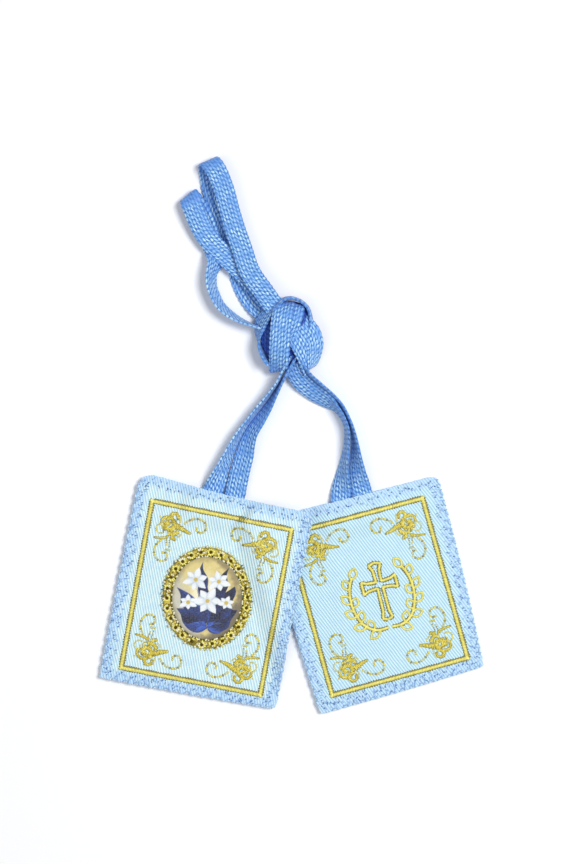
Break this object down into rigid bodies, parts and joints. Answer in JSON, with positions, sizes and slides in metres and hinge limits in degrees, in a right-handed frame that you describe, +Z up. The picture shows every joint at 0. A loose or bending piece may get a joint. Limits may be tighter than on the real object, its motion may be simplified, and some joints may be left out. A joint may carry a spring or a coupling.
{
  "type": "devotional scapular",
  "caption": "Devotional scapular laid flat: embroidered blue cloth panels on flat woven tapes, tied together in a knot.",
  "frame": {"origin": "on the surface it lies on, under the middle of the two cloth panels", "axes": "+Z up off the surface, +Y from the panels towards the knot and the loops, +X from the left panel to the right panel"},
  "size_m": [0.1154, 0.1672, 0.011],
  "materials": {
    "cloth": "light blue twill",
    "backing": "plain light blue cloth",
    "picture": "printed satin cloth",
    "gold_thread": "gold metallic embroidery thread",
    "blue_thread": "blue sewing thread",
    "tape": "flat woven tape with a soft sheen"
  },
  "bodies": {
    "root": {"panel_left_back": "backing", "panel_left_front": "cloth", "panel_right_back": "backing", "panel_right_front": "cloth", "oval_picture": "picture", "oval_ring": "gold_thread", "knot_front_wrap": "tape", "knot_second_wrap": "tape", "knot_right_inner_wrap": "tape", "knot_right_outer_wrap": "tape", "knot_rim_wrap": "tape", "knot_core": "tape", "tape_long_loop": "tape", "tape_short_loop": "tape", "tape_left_outer": "tape", "tape_left_inner": "tape", "tape_right_outer": "tape", "tape_right_inner": "tape"}
  },
  "joints": []
}
